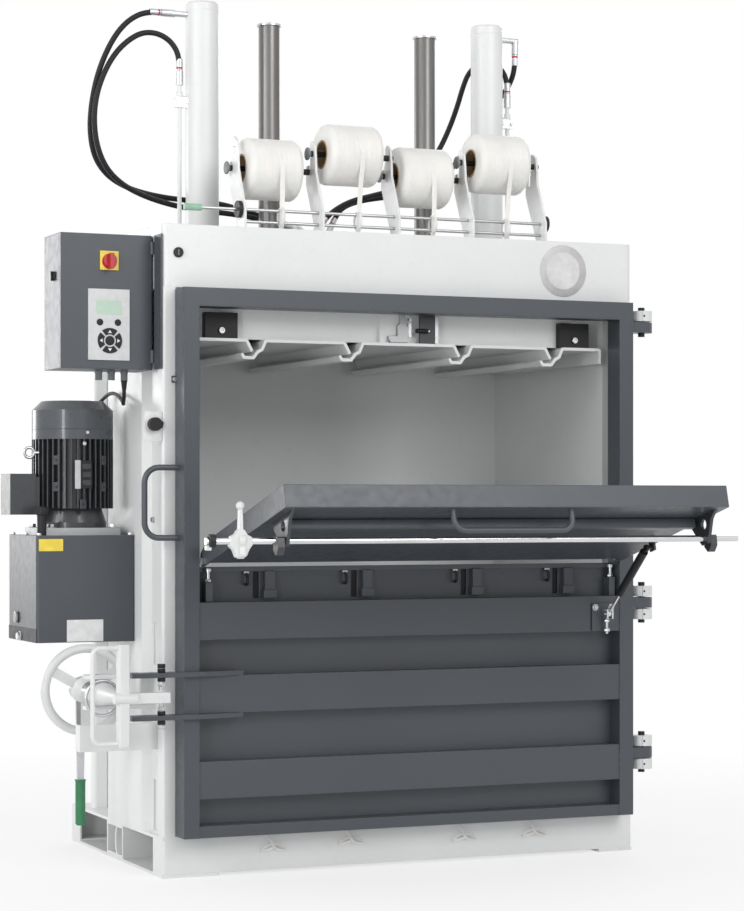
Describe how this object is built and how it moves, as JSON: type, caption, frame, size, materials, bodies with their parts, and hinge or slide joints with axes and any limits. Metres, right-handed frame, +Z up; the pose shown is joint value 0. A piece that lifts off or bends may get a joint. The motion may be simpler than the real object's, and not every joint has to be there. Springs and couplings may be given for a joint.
{
  "type": "recycling baler",
  "caption": "Upright hydraulic baler for card and film with a lowered loading flap, hinged front door, screw lock, strap rolls and a side power pack.",
  "frame": {"origin": "on the floor, under the middle of the base", "axes": "+X to the machine's right as seen from the front, +Y to its back, +Z up"},
  "size_m": [1.692, 1.4312, 2.293],
  "materials": {
    "white_paint": "satin powder coat",
    "grey_paint": "satin powder coat",
    "chrome": "polished",
    "steel": "plated",
    "guide_steel": "ground, oiled",
    "strap": "woven strapping",
    "black_plastic": "fine grain",
    "panel_plastic": "film panel",
    "red_plastic": "smooth",
    "hose_rubber": "matt",
    "cast_white": "painted casting",
    "motor_grey": "painted casting"
  },
  "bodies": {
    "root": {"base_sole": "white_paint", "base_beams": "white_paint", "base_centre_box": "white_paint", "base_deck": "white_paint", "chamber_floor": "white_paint", "frame_columns": "white_paint", "side_walls": "white_paint", "side_panels": "white_paint", "rear_wall": "white_paint", "head_front_beam": "white_paint", "head_beams": "white_paint", "head_girder": "white_paint", "ram_cylinders": "white_paint", "roll_arms": "white_paint", "strap_rings": "steel", "frame_hinges": "white_paint", "lock_brackets": "white_paint", "control_cabinet": "grey_paint", "cabinet_fittings": "grey_paint", "oil_tank": "grey_paint", "motor_housing": "motor_grey", "fan_cover": "grey_paint", "motor_fittings": "black_plastic", "oil_pipes": "white_paint", "hose_left_upper": "hose_rubber", "hose_left_lower": "hose_rubber", "hose_right_upper": "hose_rubber", "hose_right_lower": "hose_rubber", "motor_cable": "hose_rubber", "safety_switch": "black_plastic"},
    "ram": {"platen_box": "white_paint", "platen_sheets": "white_paint", "platen_slide_blocks": "black_plastic", "piston_rods": "chrome", "guide_columns": "guide_steel"},
    "roll_1": {"strap_roll_1": "strap"},
    "roll_2": {"strap_roll_2": "strap"},
    "roll_3": {"strap_roll_3": "strap"},
    "roll_4": {"strap_roll_4": "strap"},
    "strap_rail": {"strap_rail_upper": "steel"},
    "door": {"door_frame": "grey_paint", "door_skin": "grey_paint", "door_fittings": "grey_paint", "door_hook_plates": "grey_paint", "door_hinges": "grey_paint"},
    "flap": {"flap_pan": "grey_paint", "flap_brackets": "cast_white"},
    "latch": {"latch_bar": "chrome", "latch_lever": "cast_white"},
    "strut_rod": {"strut_rod": "chrome"},
    "strut_cylinder": {"strut_cylinder": "grey_paint"},
    "lock_arm": {"lock_clamp_bar": "cast_white", "lock_spindle": "steel"},
    "hand_wheel": {"lock_hand_wheel": "cast_white"},
    "ratchet": {"lock_ratchet_lever": "steel"},
    "cabinet_leaf": {"cabinet_door": "grey_paint", "cabinet_panels": "panel_plastic"},
    "main_switch": {"main_switch_knob": "red_plastic"},
    "rotor": {"motor_rotor_fan": "black_plastic"}
  },
  "joints": [
    {"name": "ram_press", "type": "slide", "parent": "root", "child": "ram", "axis": [0, 0, -1], "range_m": [0, 0.56]},
    {"name": "roll_1_turn", "type": "hinge", "parent": "root", "child": "roll_1", "pos_m": [-0.32475, -0.255, 1.817], "axis": [1, 0, 0], "continuous": true},
    {"name": "roll_2_turn", "type": "hinge", "parent": "root", "child": "roll_2", "pos_m": [-0.10825, -0.28, 1.862], "axis": [1, 0, 0], "continuous": true},
    {"name": "roll_3_turn", "type": "hinge", "parent": "root", "child": "roll_3", "pos_m": [0.10825, -0.255, 1.817], "axis": [1, 0, 0], "continuous": true},
    {"name": "roll_4_turn", "type": "hinge", "parent": "root", "child": "roll_4", "pos_m": [0.32475, -0.28, 1.862], "axis": [1, 0, 0], "continuous": true},
    {"name": "strap_rail_turn", "type": "hinge", "parent": "root", "child": "strap_rail", "pos_m": [0, -0.325, 1.702], "axis": [1, 0, 0], "continuous": true},
    {"name": "door_swing", "type": "hinge", "parent": "root", "child": "door", "pos_m": [0.683, -0.43, 0.797], "axis": [0, 0, 1], "range_deg": [0, 105]},
    {"name": "flap_swing", "type": "hinge", "parent": "door", "child": "flap", "pos_m": [0, -0.465, 0.8], "axis": [1, 0, 0], "range_deg": [-75.3, 0]},
    {"name": "latch_turn", "type": "hinge", "parent": "flap", "child": "latch", "pos_m": [0, -0.96497, 0.85673], "axis": [1, 0, 0], "range_deg": [0, 38], "stiffness_Nm_per_rad": 4},
    {"name": "strut_rod_swing", "type": "hinge", "parent": "door", "child": "strut_rod", "pos_m": [0.548, -0.492, 0.65], "axis": [1, 0, 0], "range_deg": [-48.24, 0.1]},
    {"name": "strut_extend", "type": "slide", "parent": "strut_rod", "child": "strut_cylinder", "axis": [0, -0.7517, 0.6595], "range_m": [-0.0002, 0.10973]},
    {"name": "lock_swing", "type": "hinge", "parent": "root", "child": "lock_arm", "pos_m": [-0.808, -0.262, 0.465], "axis": [0, 0, 1], "range_deg": [-12, 6.5]},
    {"name": "hand_wheel_turn", "type": "hinge", "parent": "lock_arm", "child": "hand_wheel", "pos_m": [-0.808, -0.178, 0.465], "axis": [0, 1, 0], "continuous": true},
    {"name": "ratchet_swing", "type": "hinge", "parent": "lock_arm", "child": "ratchet", "pos_m": [-0.808, -0.14, 0.465], "axis": [0, 1, 0], "range_deg": [0, 70]},
    {"name": "cabinet_door_swing", "type": "hinge", "parent": "root", "child": "cabinet_leaf", "pos_m": [-0.678, -0.334, 1.453], "axis": [0, 0, 1], "range_deg": [0, 90]},
    {"name": "main_switch_turn", "type": "hinge", "parent": "cabinet_leaf", "child": "main_switch", "pos_m": [-0.791, -0.328, 1.556], "axis": [0, 1, 0], "range_deg": [0, 90]},
    {"name": "rotor_spin", "type": "hinge", "parent": "root", "child": "rotor", "pos_m": [-0.8, -0.038, 1], "axis": [0, 0, 1], "continuous": true}
  ],
  "couplings": [
    {"joint": "strut_rod_swing", "follows": "flap_swing", "ratio": 0.63928},
    {"joint": "strut_extend", "follows": "flap_swing", "m_per_rad": -0.083341}
  ]
}
